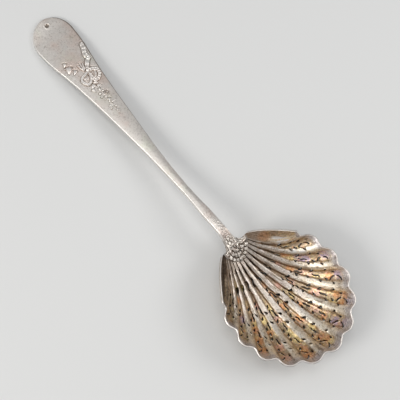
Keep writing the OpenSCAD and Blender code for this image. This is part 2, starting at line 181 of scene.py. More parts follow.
def flute_drop(i, x, y, s):
    pad = np.hypot((x - HINGE_X) / PAD_LEN, y / PAD_HALF_W)
    depth = FLUTE_DEPTH * smooth((pad - 1) * PAD_FADE) * mix(1, RIM_DEPTH, s**4)
    depth = depth * (1 - FLUTE_END[2] * smooth((s - FLUTE_END[0]) / FLUTE_END[1]))
    k = np.abs(i)
    wing = depth * WING_FLUTE * np.sin(np.pi * np.clip(k - HALF, 0, 1)) ** 2
    line = RIM_LINE[2] * bell(s, RIM_LINE[0], RIM_LINE[1])
    return np.where(k <= HALF, depth * (1 - ridge(i, s)), wing) + line


def bowl_point(i, s, f=0.0, fluted=True):
    """Point of the sheet at flute number i and share s, at share f of its thickness from inside."""
    x, y = ray(i, s)
    lobe = np.where(np.abs(i) <= HALF, LOBE_DEPTH * (1 - np.sin(np.pi * off_lobe(i)) ** 3), 0)
    r = np.maximum(np.hypot(x, y), 1e-6)
    out = lobe * np.abs(s) ** 3
    z = crest_z(x, y) - (flute_drop(i, x, y, s) if fluted else 0)
    p = np.stack([x + out * x / r, y + out * y / r, z], -1)
    p = p - (np.asarray(f) * SHEET)[..., None] * crest_normal(x, y)
    p[..., 0] = np.maximum(p[..., 0], HINGE_X)
    p[..., 2] = np.maximum(p[..., 2], 0)
    return p


def ray_len(i):
    a = i * PITCH
    r = notch_radius(a)
    return LOBE_DEPTH + math.hypot(
        r * math.cos(a) - ROOT_X, r * math.sin(a) - HINGE_W / 2 * FAN_ROOT * i / HALF
    )


# ---- Piercings: outlines in millimetres, x towards the rim and y across the flute ----
def drop_shape(grow, size=1.0, bend=0.0, count=18):
    """A comma: round head towards the rim, and a tail that bends aside."""
    head, tail = 0.43 * DROP_W * size, (1.05 * DROP_LEN - DROP_W / 2) * size
    middle = (tail - head) / 2
    head, tail = head + grow, tail + 1.5 * max(grow, -0.3 * tail)
    points = []
    for k in range(count):
        a = 2 * math.pi * k / count
        x, y = math.cos(a), math.sin(a)
        if x < 0:
            y *= (1 + x) ** 0.9 * 0.86 + 0.14 * (1 - x * x) ** 0.5
            points.append((x * tail, y * head + bend * x * x * tail))
        else:
            points.append((x * head, y * head))
    return [(x + middle, y) for x, y in points]


def slit_shape(grow, length, bend=0.0, sway=0.0, width=SLIT_W, ends=5, middle=7):
    """A slit with round ends. bend curves it into an arc and sway into an S."""
    width, length = width + 2 * grow, length + 2 * grow
    half = length / 2 - width / 2
    steps = [-half + 2 * half * k / (middle - 1) for k in range(middle)]

    def axis(x):
        u = x / (half + width / 2)
        return bend * (1 - u * u) + sway * math.sin(math.pi * u)

    def waist(x):
        return width / 2 * (1 - 0.25 * (x / (half + width / 2)) ** 2)

    top = [(x, axis(x) + waist(x)) for x in reversed(steps)]
    under = [(x, axis(x) - waist(x)) for x in steps]
    points = []
    for side, row in ((1, under), (-1, top)):
        points += row
        r = waist(half)
        for k in range(1, ends):
            a = -math.pi / 2 + math.pi * k / ends
            points.append((side * (half + r * math.cos(a)), axis(side * half) + side * r * math.sin(a)))
    return points


DROP_SIDE, DROP_ALONG, SINGLE_SIDE = 0.22, 0.18, 0.14
RIM_DROP_SIDE, RIM_DROP_AT, RIM_SLIT_SIDE, RIM_SLIT_AT = 0.32, (0.44, 0.58), 0.12, (0.47, 0.27)
RIM_SLIT_LEN, RIM_DOT_SIDE, RIM_DOT_AT, RIM_SIZE = 0.75, 0.2, 0.38, 0.8
SLIT_TURN, DROP_TURN, RIM_SLIT_TURNS, LONG_SLIT_TURN = 14, 48, (45, -45), 4
# The piercer's pattern strays to one side of the flutes, the more the further round they lie
STRAY, STRAY_FROM, STRAY_MOST = 0.045, 1.7, (-0.06, 0.2)
# Slits as they were really sawn: share of the length, share of the width, and sway or bend
GROUP_SLIT, LONG_SLIT, RIM_SLIT = (1.15, 0.9, 0.24), (1.1, 0.85, 0.25), (1.1, 0.9, 0.34)
WIDE_RIM_SLIT = 1.35  # share of the length on the flutes in the middle
DROP_BEND, RIM_DROP_BEND = 0.3, 0.2



def stray(i, from_rim):
    aside = min(STRAY_MOST[1], max(STRAY_MOST[0], STRAY * (STRAY_FROM - i)))
    return aside * float(smooth(from_rim / MOTIF_START))


def sawn(length, kind, side):
    """Values of a swaying slit's shape."""
    return {"length": length * kind[0], "width": SLIT_W * kind[1], "sway": kind[2] * side}


def piercings():
    """Every hole as (i, distance from the rim, turn in degrees, shape, its values, flute)."""
    holes = []

    def pierce(aside, from_rim, turn, shape, **form):
        holes.append((i + aside, from_rim, turn, shape, form, i))

    for i in range(-int(HALF), int(HALF) + 1):
        length = ray_len(i)
        away = -1 if i < 0 else 1
        groups = max(1, math.floor((length - MOTIF_END - MOTIF_START) / MOTIF_PITCH) + 1)
        room = length - MOTIF_END + MOTIF_PITCH / 2 - MOTIF_START
        singles = max(1, math.floor(room / MOTIF_PITCH + 0.5) + 1)
        for k in range(groups):
            d = MOTIF_START + k * MOTIF_PITCH
            lean = (1 if k % 2 == 0 else -1) * away
            pierce(0, d, -lean * SLIT_TURN, slit_shape, **sawn(SLIT_LEN, GROUP_SLIT, lean))
            for side in (-1, 1):
                place = d + side * lean * DROP_ALONG * MOTIF_PITCH
                pierce(side * DROP_SIDE, place, side * DROP_TURN, drop_shape, bend=DROP_BEND * side)
        for k in range(singles):
            place = MOTIF_START + (k - 0.5) * MOTIF_PITCH
            pierce(-SINGLE_SIDE, place, -DROP_TURN, drop_shape, bend=-DROP_BEND)
        if length - LONG_SLIT_AT - LONG_SLIT_LEN > MOTIF_START:
            form = sawn(LONG_SLIT_LEN, LONG_SLIT, away)
            pierce(0, length - LONG_SLIT_AT, LONG_SLIT_TURN * away, slit_shape, **form)
        grown = WIDE_RIM_SLIT if abs(i) < 4 else RIM_SLIT[0]
        form = {"length": SLIT_LEN * RIM_SLIT_LEN * grown, "bend": RIM_SLIT[2] * grown,
                "width": SLIT_W * RIM_SLIT[1]}
        for share, turn in zip(RIM_SLIT_AT, RIM_SLIT_TURNS):
            pierce(-RIM_SLIT_SIDE, MOTIF_START * share, turn, slit_shape, **form)
        for side, share in zip((-1, 1), RIM_DROP_AT):
            form = {"size": RIM_SIZE, "bend": RIM_DROP_BEND * side}
            pierce(side * RIM_DROP_SIDE, MOTIF_START * share, side * DROP_TURN, drop_shape, **form)
        pierce(RIM_DOT_SIDE, MOTIF_START * RIM_DOT_AT, 0, drop_shape, size=RIM_SIZE)
    return holes



def hole_outline(hole, grow=0.0):
    """Outline of a hole, sawn straight through the sheet, as (i, s) places, grown by a distance."""
    i0, from_rim, turn, shape, form, flute = hole
    i0 = i0 + stray(flute, from_rim)
    s0 = 1 - from_rim / ray_len(flute)
    step = 1e-3
    here = bowl_point(np.array(i0), np.array(s0), fluted=False)
    by_i = (bowl_point(np.array(i0 + step), np.array(s0), fluted=False) - here) / step
    by_s = (bowl_point(np.array(i0), np.array(s0 + step), fluted=False) - here) / step
    x, y = ray(np.array(i0), np.array(s0))
    along = by_s / np.linalg.norm(by_s)
    across = np.cross(crest_normal(x, y), along)
    across /= np.linalg.norm(across)
    a = math.radians(turn)
    pts = np.array(shape(grow, **form))
    u = pts[:, 0] * math.cos(a) - pts[:, 1] * math.sin(a)
    v = pts[:, 0] * math.sin(a) + pts[:, 1] * math.cos(a)
    want = u[:, None] * along + v[:, None] * across
    di_ds = np.linalg.lstsq(np.stack([by_i, by_s], 1), want.T, rcond=None)[0]
    return i0 + di_ds[0], s0 + di_ds[1]


# ---- Mesh building ----
def placed(name, data):
    obj = bpy.data.objects.new(name, data)
    bpy.context.scene.collection.objects.link(obj)
    return obj


def make_mesh(name, points, faces, form=None, tint=None, wear_and_sheen=None, smooth_shading=True):
    """An object from points in millimetres, with four shares a point for form, tint, and worn streaks
    with sheen.
    """
    mesh = bpy.data.meshes.new(name)
    mesh.from_pydata([tuple(p) for p in np.asarray(points) * MM], [], [tuple(f) for f in faces])
    mesh.validate()
    for label, shares in (("form", form), ("tint", tint), ("wear_and_sheen", wear_and_sheen)):
        if shares is not None:
            layer = mesh.color_attributes.new(label, "FLOAT_COLOR", "POINT")
            layer.data.foreach_set("color", np.asarray(shares, np.float32).ravel())
    mesh.polygons.foreach_set("use_smooth", [smooth_shading] * len(mesh.polygons))
    return placed(name, mesh)


# Where the worn gilding left each colour, and where bright silver stands as a painted highlight: flute
# number, share from hinge to rim, and size in millimetres
GILT_PATCHES = {
    "orange": [(6.0, 0.384, 1.9), (5.34, 0.855, 1.2), (5.42, 0.791, 1.0), (2.96, 0.872, 1.2),
        (1.76, 0.713, 1.0), (2.1, 0.892, 1.2), (2.1, 0.951, 1.5), (1.78, 0.924, 1.2),
        (0.2, 0.698, 1.5), (0.78, 0.646, 1.2), (0.02, 0.877, 1.5), (0.12, 0.914, 1.2),
        (-0.94, 0.887, 1.5), (-1.0, 0.946, 1.9), (-2.78, 0.629, 1.0), (-1.96, 0.72, 1.2),
        (-2.88, 0.831, 1.9), (-2.84, 0.914, 1.5), (-1.84, 0.84, 1.2), (-4.02, 0.531, 1.2),
        (-0.24, 0.364, 1.2), (-0.18, 0.447, 1.2), (4.26, 0.573, 1.5), (2.96, 0.551, 1.2),
        (-2.9, 0.74, 1.4), (-0.1, 0.56, 1.2), (0.95, 0.83, 1.2)],
    "gold": [(2.7, 0.72, 1.2), (2.56, 0.666, 1.0), (1.72, 0.87, 1.5), (0.22, 0.801, 1.5),
        (-0.8, 0.747, 1.5), (-0.82, 0.811, 1.5), (-1.12, 0.524, 1.5), (-2.76, 0.683, 1.3),
        (-1.8, 0.71, 1.5), (-3.66, 0.339, 1.5), (-2.86, 0.344, 1.2), (-3.26, 0.516, 1.2),
        (3.7, 0.585, 1.5), (0.8, 0.568, 1.0), (-2.0, 0.62, 1.2), (0.1, 0.945, 1.3)],
    "pink": [(3.08, 0.676, 1.3), (2.96, 0.72, 1.0), (1.92, 0.742, 1.5), (1.06, 0.759, 1.5),
        (0.86, 0.939, 1.2), (-1.08, 0.985, 1.5), (-2.94, 0.963, 1.5), (-1.92, 0.85, 1.5),
        (-1.92, 0.944, 1.9), (-1.94, 0.489, 1.2), (0.86, 0.447, 1.2), (2.96, 0.423, 1.2),
        (2.02, 0.548, 1.2), (-0.95, 0.62, 1.2)],
    "violet": [(4.24, 0.713, 1.5), (3.92, 0.759, 1.5), (3.72, 0.688, 1.2), (4.1, 0.941, 1.9),
        (3.04, 0.939, 1.5), (1.92, 0.975, 1.5), (0.94, 0.902, 1.5), (1.02, 0.966, 1.7),
        (-3.82, 0.727, 1.3), (-1.95, 0.985, 1.2), (-0.9, 0.985, 1.2)],
    # bright silver as painted highlights on the +Y wing and a ridge near it
    "bright": [(5.95, 0.62, 1.8), (5.9, 0.7, 1.5), (5.8, 0.78, 1.2), (5.5, 0.66, 1.0),
        (4.5, 0.8, 1.4), (4.52, 0.7, 1.2)],
}
PATCH_SPREAD = 1.7



def patch_tint(points):
    """Shares of the four gilding colours, and of the painted highlights of bright silver, at the bowl's
    points.
    """
    tint = np.zeros((len(points), len(GILT_PATCHES)))
    for k, patches in enumerate(GILT_PATCHES.values()):
        for i, s, size in patches:
            centre = bowl_point(np.array(i), np.array(s))
            d = np.linalg.norm(points - centre, axis=1) / (size * PATCH_SPREAD)
            tint[:, k] = np.maximum(tint[:, k], np.exp(-((d / 0.8) ** 2)))
    return tint


STREAK_CELLS = np.random.default_rng(7).random((4, 97, 89))


def cell_noise(layer, u, v):
    """Smooth seeded noise, one cell a unit."""
    cells = STREAK_CELLS[layer]
    iu, iv = np.floor(u).astype(int), np.floor(v).astype(int)
    fu, fv = smooth(u - iu), smooth(v - iv)

    def at(a, b):
        return cells[a % cells.shape[0], b % cells.shape[1]]

    low = mix(at(iu, iv), at(iu + 1, iv), fu)
    high = mix(at(iu, iv + 1), at(iu + 1, iv + 1), fu)
    return mix(low, high, fv)


def bowl_grime(i, s):
    """Share of darkening: painted shade, with tarnish, deep in the flutes' roots and over the wing that
    turns away from the light. The lobes beside that wing are a little darker too.
    """
    k = np.abs(i)
    valley = np.where(k <= HALF, 1 - smooth((ridge(i, s) - 0.12) / 0.4), 0.5)
    root = valley * smooth((0.27 - s) / 0.12) * smooth((s - 0.085) / 0.03)
    root = root * np.where(k <= HALF, 1, 0.3)
    wing = smooth((-i - HALF + 0.2) / 0.4) * mix(0.35, 0.72, cell_noise(1, (i + 7) * 9.0, s * 4))
    beside = smooth((-i - 3.6) / 1.2) * smooth((s - 0.35) / 0.3) * 0.35
    return np.clip(np.maximum(np.maximum(1.25 * root, wing), beside), 0, 1)


def bowl_wear(i, s, rim=0.0):
    """Streaks that run along the flutes: broad, fine and very fine, and the share of bright silver
    given as rim: on the rim's outer edge, and as a painted highlight along the hinge edge.
    """
    broad = cell_noise(0, (i + 7) * 4.0, s * 14)
    fine = 0.6 * cell_noise(1, (i + 7) * 11.0, s * 30) + 0.4 * cell_noise(2, (i + 7) * 23.0, s * 66)
    lines = cell_noise(3, (i + 7) * 27.0, s * 9)
    return np.stack([broad, fine, lines, rim + 0 * s], -1)


GRID_SIDE, GRID_LEN = 4.6, 52.0  # scale of the flat picture of the bowl in which it is cut
RIM_ROUND = 0.22  # how far the rim's rounding reaches in
HOLE_CHAMFER = 0.03  # a piercing is wider by this at the inside face of the sheet
WAIST = {"drop_shape": 0.3, "slit_shape": 0.17}  # and narrower half way through it
HINGE_LINE = 0.014  # share of the length over which the hinge edge shines
HOLE_RIM_SHADE = 0.06  # painted shade on the sheet's face at a piercing's edge
CLEAR = 0.1  # the flat picture keeps no grid point nearer to a piercing's outline
WING_ROUND = 0.05  # how far the rounding of the wings' edges reaches in, as a share of a flute
GRID_COLUMNS = 13 * 22 + 1  # the two wings count as flutes
GRID_ROWS = ((0, 0.3, 33), (0.3, 0.92, 66))  # closer by the hinge, and again by the rim
RIM_ROWS, EDGE_RINGS = 22, 6


def inside_of(poly, points):
    """Which points lie inside a closed outline."""
    a, b = poly, np.roll(poly, -1, axis=0)
    crossing = (a[:, 1] > points[:, 1:2]) != (b[:, 1] > points[:, 1:2])
    x_at = a[:, 0] + (points[:, 1:2] - a[:, 1]) * (b[:, 0] - a[:, 0]) / (b[:, 1] - a[:, 1] + 1e-30)
    return (crossing & (points[:, 0:1] < x_at)).sum(1) % 2 == 1


def gap_to(poly, points):
    """Distance of each point from a closed outline."""
    a, along = poly, np.roll(poly, -1, axis=0) - poly
    t = ((points[:, None] - a) * along).sum(-1) / (along * along).sum(-1)
    nearest = a + np.clip(t, 0, 1)[..., None] * along
    return np.linalg.norm(points[:, None] - nearest, axis=-1).min(1)


def build_bowl():
    top_i, top_s = HALF + 1 - WING_ROUND, 1 - RIM_ROUND / GRID_LEN
    columns = np.linspace(-top_i, top_i, GRID_COLUMNS)
    rows = np.concatenate([np.linspace(*part)[:-1] for part in GRID_ROWS]
                          + [np.linspace(GRID_ROWS[-1][1], top_s, RIM_ROWS)])
    ci, cs = np.meshgrid(columns, rows)
    grid = np.stack([ci.ravel(), cs.ravel()], 1)
    holes = piercings()
    outlines = [np.stack(hole_outline(h, HOLE_CHAMFER), 1) for h in holes]
    inner = [np.stack(hole_outline(h), 1) for h in holes]
    waist = [np.stack(hole_outline(h, -WAIST[h[3].__name__]), 1) for h in holes]
    scale = np.array([GRID_SIDE, GRID_LEN])
    keep = np.ones(len(grid), bool)
    on_edge = (np.abs(grid[:, 0]) >= top_i - 1e-9) | (grid[:, 1] <= 0) | (grid[:, 1] >= top_s - 1e-9)
    for line in outlines:
        low, high = line.min(0), line.max(0)
        box = np.nonzero(((grid > low - CLEAR / scale) & (grid < high + CLEAR / scale)).all(1))[0]
        poly, spots = line * scale, grid[box] * scale
        keep[box[inside_of(poly, spots) | (gap_to(poly, spots) < CLEAR)]] = False
    keep |= on_edge
    grid = grid[keep]
    verts = [Vector(p) for p in grid * scale]
    edges = []
    for line in outlines:
        first = len(verts)
        verts += [Vector(p) for p in line * scale]
        edges += [(first + k, first + (k + 1) % len(line)) for k in range(len(line))]
    out_v, _, out_f, orig_v, _, _ = delaunay_2d_cdt(verts, edges, [], 0, 1e-7, True)
    flat = np.array([(v.x, v.y) for v in out_v])
    tris = np.array([f for f in out_f if len(f) == 3])
    where = {}
    for new, olds in enumerate(orig_v):
        for old in olds:
            where[old] = new
    centres = flat[tris].mean(1)
    dead = np.zeros(len(tris), bool)
    loops = []
    first = len(grid)
    for line in outlines:
        poly = line * scale
        low, high = poly.min(0), poly.max(0)
        box = np.nonzero(((centres > low) & (centres < high)).all(1))[0]
        dead[box[inside_of(poly, centres[box])]] = True
        loops.append([where[first + k] for k in range(len(line))])
        first += len(line)
    tris = tris[~dead]
    i, s = flat[:, 0] / GRID_SIDE, flat[:, 1] / GRID_LEN
    tris = tris[:, ::-1]
    count = len(flat)
    points = [bowl_point(i, s, 0.0), bowl_point(i, s, 1.0)]

    def form_of(i, s, edge, f):
        # Shares: ridge, place along, near-black painted shade of the piercings, and painted shade with
        # tarnish
        ones = np.ones_like(i)
        high = np.where(np.abs(i) <= HALF, ridge(i, s), 0.6)
        return np.stack([high, s, ones * edge, bowl_grime(i, s) * (1 - 0.7 * f)], -1)

    forms = [form_of(i, s, 0, 0.0), form_of(i, s, 0, 1.0)]
    # A painted highlight of bright silver along the hinge edge, in the last share
    wear_and_sheen_parts = [bowl_wear(i, s, smooth((HINGE_LINE - s) / HINGE_LINE))] * 2
    forms_i, forms_s = [i, i], [s, s]
    # Painted shade on the face at each piercing's edge
    hole_points = np.concatenate(loops)
    forms[0][hole_points, 2] = HOLE_RIM_SHADE
    faces = [tuple(t) for t in tris] + [tuple(t[::-1] + count) for t in tris]
    total = 2 * count

    def add_ring(ri, rs, f, edge, rim=0.0):
        nonlocal total
        points.append(bowl_point(ri, rs, f))
        forms.append(form_of(ri, rs, edge, f))
        wear_and_sheen_parts.append(bowl_wear(ri, rs, rim))
        forms_i.append(ri)
        forms_s.append(rs)
        ring = list(range(total, total + len(ri)))
        total += len(ri)
        return ring

    def join(a, b):
        for k in range(len(a)):
            m = (k + 1) % len(a)
            faces.append((a[k], b[k], b[m], a[m]))

    # Walls of the piercings, with a small chamfer inside, marked for near-black painted shade
    for loop, line, tight in zip(loops, inner, waist):
        rings = [
            loop,
            add_ring(line[:, 0], line[:, 1], np.full(len(line), 0.1), 0.5),
            add_ring(tight[:, 0], tight[:, 1], np.full(len(line), 0.45), 0.5),
            add_ring(line[:, 0], line[:, 1], np.full(len(line), 0.97), 0.5),
            [v + count for v in loop],
        ]
        for a, b in zip(rings, rings[1:]):
            join(a, b)
    # The rounded outer edge
    edge_count = {}
    for t in tris:
        for k in range(3):
            e = (int(t[k]), int(t[(k + 1) % 3]))
            edge_count.setdefault(frozenset(e), []).append(e)
    holes_at = set(v for loop in loops for v in loop)
    nxt = {}
    for pair in edge_count.values():
        if len(pair) == 1 and not (pair[0][0] in holes_at and pair[0][1] in holes_at):
            nxt[pair[0][0]] = pair[0][1]
    start = next(iter(nxt))
    loop = [start]
    while nxt[loop[-1]] != start:
        loop.append(nxt[loop[-1]])
    li, ls = i[loop], s[loop]
    previous = loop
    for step in range(1, EDGE_RINGS):
        a = -math.pi / 2 + math.pi * step / EDGE_RINGS
        f = (1 + math.sin(a)) / 2
        bulge = math.cos(a)
        ri = np.where(np.abs(li) >= top_i - 1e-6, np.sign(li) * (top_i + WING_ROUND * bulge), li)
        rs = np.where(ls >= top_s - 1e-6, top_s + (1 - top_s) * bulge, ls)
        ring = add_ring(ri, rs, np.full(len(li), f), 0.0, 1.0 if f < 0.6 else 0.25)
        join(previous, ring)
        previous = ring
    join(previous, [v + count for v in loop])
    points = np.concatenate(points)
    wear_and_sheen = np.concatenate(wear_and_sheen_parts)
    tint = patch_tint(points)
    all_i, all_s = np.concatenate(forms_i), np.concatenate(forms_s)
    # The painted highlights on the wing, broken into streaks along the flutes, join the share of bright
    # silver
    streaks = smooth((cell_noise(1, (all_i + 7) * 9.0, all_s * 5) - 0.1) / 0.3)
    wear_and_sheen[:, 3] = np.maximum(wear_and_sheen[:, 3], tint[:, 4] * streaks)
    return make_mesh("shell_bowl", points, faces, np.concatenate(forms), tint[:, :4], wear_and_sheen)


# ---- The handle ----
TAPER = [(0.083, 1), (0.124, 0.967), (0.165, 0.887), (0.186, 0.82), (0.227, 0.711), (0.268, 0.611),
    (0.309, 0.537), (0.35, 0.46), (0.39, 0.396), (0.431, 0.335), (0.512, 0.218), (0.593, 0.105),
    (0.674, 0.038), (0.754, 0)]
COLLAR = [(0.8, 0), (0.86, 0.28), (0.9, 0.28), (0.955, 0.3), (0.98, 0.6), (1, 1)]
RISE = [(0.05, 0), (0.1, 0.06), (0.15, 0.13), (0.19, 0.18), (0.275, 0.267), (0.36, 0.353),
    (0.44, 0.43), (0.52, 0.5), (0.6, 0.565), (0.68, 0.645), (0.76, 0.745), (0.86, 0.905),
    (0.9, 0.972), (0.94, 1)]
NECK_DOWN, THICKEN, SIDE_BEND, CROWN = (0.94, 0.99), (0.1, 0.8), 0.09, 0.15


def soft_table(rows, s, blur=0.012):
    """The table's value, softened so that no station shows as a facet."""
    return sum(table(rows, s + blur * k) for k in (-1, -0.5, 0, 0.5, 1)) / 5


def handle_half_w(s):
    u = np.clip(s * HANDLE_LEN / END_ROUND, 0, 1)
    tip = END_W / 2 * np.sqrt(np.clip(1 - (1 - u) ** 2, 0, None))
    body = mix(NECK_W, END_W, soft_table(TAPER, s, 0.008)) / 2
    collar = (COLLAR_W - NECK_W) / 2 * np.where(s < COLLAR[0][0], 0, soft_table(COLLAR, s, 0.006))
    return np.where(u < 1, tip, np.minimum(body, END_W / 2) + collar)


def handle_top(s):
    z = mix(END_T, NECK_H, soft_table(RISE, s))
    down = smooth((s - NECK_DOWN[0]) / (NECK_DOWN[1] - NECK_DOWN[0]))
    return mix(z, JOINT_TOP, down)


def handle_thick(s):
    return mix(END_T, NECK_T, smooth((s - THICKEN[0]) / (THICKEN[1] - THICKEN[0])))


def handle_side(s):
    d, b = (1 - s) * HANDLE_LEN, SIDE_BEND * HANDLE_LEN
    slope = math.tan(math.radians(HANDLE_TURN))
    return slope * np.where(d < b, d * d / (2 * b), d - b / 2)


def handle_x(s):
    """The last millimetre closes the film of solder before the bowl."""
    gap = FILM * (1 - 0.85 * smooth((s - 0.99) / 0.01))
    return HINGE_X - gap - (1 - s) * HANDLE_LEN * math.cos(math.radians(HANDLE_TURN))


# ---- Relief: places are (millimetres from the tip, millimetres towards +Y from the middle) ----
def spline(points, steps=10):
    p = np.array(points, float)
    out = []
    for k in range(len(p) - 1):
        a, b, c, d = p[max(k - 1, 0)], p[k], p[k + 1], p[min(k + 2, len(p) - 1)]
        for j in range(steps):
            t = j / steps
            out.append(
                0.5 * (2 * b + (c - a) * t + (2 * a - 5 * b + 4 * c - d) * t * t
                       + (3 * b - a - 3 * c + d) * t**3)
            )
    return np.array(out + [p[-1]])



def along_line(line, x, y):
    """Distance from a line, with its sign, and the share of the line's length passed."""
    best = np.full(x.shape, 1e9)
    signed = np.zeros(x.shape)
    share = np.zeros(x.shape)
    lengths = np.linalg.norm(np.diff(line, axis=0), axis=1)
    total, done = lengths.sum(), 0.0
    for a, b, length in zip(line[:-1], line[1:], lengths):
        if length < 1e-9:
            continue
        dx, dy = (b - a) / length
        t = np.clip((x - a[0]) * dx + (y - a[1]) * dy, 0, length)
        px, py = x - a[0] - t * dx, y - a[1] - t * dy
        d = np.hypot(px, py)
        nearer = d < best
        side = np.where(dx * py - dy * px < 0, -1.0, 1.0)
        best = np.where(nearer, d, best)
        signed = np.where(nearer, d * side, signed)
        share = np.where(nearer, (done + t) / total, share)
        done += length
    return best, signed, share


def band(h, points, x, y, width, high, hollow, ribs, taper):
    """A ribbon with raised edges and a hollow middle, and ribs across it if wanted."""
    d, signed, share = along_line(spline(points), x, y)
    w = width / 2 * (1 - taper * np.abs(2 * share - 1) ** 2)
    u = d / w
    form = smooth((1.15 - u) / 0.35) * (1 - hollow * (1 - smooth((u - 0.25) / 0.5)))
    if ribs:
        form = form * (0.75 + 0.25 * np.cos(2 * np.pi * ribs * share))
    groove = -0.25 * bell(u, 1.3, 0.28)
    return np.where(u < 1.05, np.maximum(h, high * form), h + high * groove)


def leaf(h, place, angle, length, width, x, y, high, vein):
    a = math.radians(angle)
    u = ((x - place[0]) * math.cos(a) + (y - place[1]) * math.sin(a)) / (length / 2)
    v = (-(x - place[0]) * math.sin(a) + (y - place[1]) * math.cos(a)) / (width / 2)
    r = np.sqrt(u * u + v * v * (1 + 0.6 * np.clip(u, -1, 1)) ** 2)
    form = np.sqrt(np.clip(1 - r * r, 0, 1)) * (1 - vein * np.exp(-((v / 0.22) ** 2)))
    around = -LEAF_GROOVE * bell(r, 1.18, 0.16)
    return np.where(r < 1, np.maximum(h, high * form), h + high * around)


def berry(h, place, size, x, y, high, ring=False):
    r = np.hypot(x - place[0], y - place[1]) / (size / 2)
    h = np.where(r < 1, np.maximum(h, high * np.sqrt(np.clip(1 - r * r, 0, 1))), h)
    if ring:
        h = h + high * 0.8 * bell(r, 1.9, 0.3)
        h = h - high * 0.5 * bell(r, 1.35, 0.2)
    return h - high * 0.35 * bell(r, 2.5 if ring else 1.2, 0.2)


RIBBON_H, LEAF_H, LEAF_GROW, LEAF_GROOVE = 0.44, 0.38, 1.08, 0.25
KNOT = (27.2, 1.5)
TAIL_LOW = [(26.9, 1.9), (25.9, 2.6), (25.0, 3.3), (24.3, 4.2), (23.6, 5.2)]
TAIL_HIGH = [(23.5, 5.3), (22.0, 5.0), (20.8, 5.5), (19.4, 6.3), (18.0, 6.9)]
SHORT_TAILS = [[(26.6, 0.3), (25.0, -0.2), (23.6, -0.3)], [(26.4, 0.7), (25.0, 0.6), (23.3, 0.8)],
               [(26.3, 1.1), (25.1, 1.3), (24.0, 1.7)]]
LEFT_LOOP = [(28.0, 0.9), (28.2, -0.6), (28.5, -2.3), (29.8, -3.1), (31.2, -2.6), (32.2, -1.7),
    (31.6, -0.2), (30.4, 0.8), (29.0, 1.2)]
RIGHT_LOOP = [(27.9, 1.9), (27.9, 3.1), (28.7, 4.2), (29.8, 5.0), (30.9, 4.7), (32.0, 3.8),
    (32.6, 2.5), (32.2, 1.4), (31.0, 1.1), (29.4, 1.3)]
INNER_FOLD = [(29.2, 3.8), (30.6, 3.2), (31.4, 2.2), (31.2, 1.7)]
LEFT_FOLD = [(29.1, -1.7), (30.0, -0.9), (29.8, 0.2)]
LEAVES = [((20.0, -4.2), -40, 1.6, 1.0), ((22.7, -4.2), -32, 2.6, 1.7),
    ((24.9, -2.9), -52, 1.9, 1.1), ((33.4, 0.9), 30, 1.9, 1.0), ((35.0, 1.2), 75, 1.8, 0.9),
    ((33.9, -1.2), -60, 2.2, 1.1), ((35.3, -1.9), 10, 1.7, 0.9), ((36.4, 0.1), -20, 1.4, 0.7),
    ((42.0, 0.4), -35, 1.7, 0.8), ((44.2, -0.6), 40, 1.4, 0.7), ((43.3, 1.2), 70, 1.3, 0.6),
    ((47.0, 0.2), -30, 1.2, 0.6), ((40.3, 0.4), 60, 1.3, 0.6), ((45.6, 0.9), 30, 1.0, 0.5)]
BERRIES = [((39.1, 1.7), 0.75, True), ((37.6, 0.9), 1.0, False), ((37.8, -0.8), 1.1, False),
    ((39.3, -1.2), 0.95, False), ((45.3, -1.3), 0.6, False), ((21.3, -5.1), 0.6, False),
    ((40.9, -0.9), 0.6, False), ((48.6, 0.1), 0.5, False)]
STEMS = [[(20.4, -1.2), (21.2, -2.4), (22.0, -3.6)],
         [(35.8, 0.3), (38.4, 0.2), (41.0, 0.1), (46.5, 0.0)],
         [(32.4, 0.2), (34.0, -0.2), (35.8, 0.3)]]
# Bands in the order in which they are laid: line, width, height, hollow, ribs and taper
BANDS = [(LEFT_FOLD, 0.9, 0.16, 0.1, 0, 0), (INNER_FOLD, 0.9, 0.26, 0.1, 0, 0),
         (LEFT_LOOP, 1.0, RIBBON_H, 0.1, 0, 0), (RIGHT_LOOP, 1.35, RIBBON_H, 0.2, 13, 0),
         (TAIL_HIGH, 1.7, RIBBON_H * 0.85, 0.45, 4, -0.15), (TAIL_LOW, 1.75, RIBBON_H, 0.4, 2, 0.25)]
BANDS += [(tail, 0.62, RIBBON_H * 0.9, 0, 0, 0.1) for tail in SHORT_TAILS]
BANDS += [(stem, 0.3, 0.12, 0, 0, 0) for stem in STEMS]
DIMPLE, DIMPLE_W = (3.0, 1.0), 1.7
NECK_BEADS = [(100.8, 0.3), (101.9, -0.2), (102.8, 0.35), (103.8, -0.1), (104.6, 0.3)]
# Leaves and beads cast on the handle's last millimetres: (place, angle, length, width)
JOINT_LEAVES = [((111.9, -1.2), 75, 1.9, 0.7), ((111.7, 0.4), 105, 1.9, 0.7),
    ((112.9, -0.4), -20, 1.6, 0.8), ((112.9, 1.3), 35, 1.7, 0.8), ((113.1, -1.7), -50, 1.5, 0.8),
    ((114.0, 0.5), 10, 1.6, 0.8), ((114.2, -0.9), -35, 1.5, 0.8), ((114.3, 2.0), 50, 1.5, 0.8),
    ((114.4, -2.3), -60, 1.5, 0.8), ((115.0, -1.6), 20, 1.1, 0.7), ((115.0, 1.4), -30, 1.2, 0.7),
    ((115.1, -0.1), 70, 1.1, 0.7)]
# Faint grains on the neck before them
NECK_GRAINS = [(105.0, 0.9), (106.2, 0.5), (106.8, 1.2), (107.8, 0.3), (108.2, 1.1), (108.9, -0.3),
    (109.4, 0.7), (110.1, -0.9), (110.3, 0.2), (110.4, 1.3)]


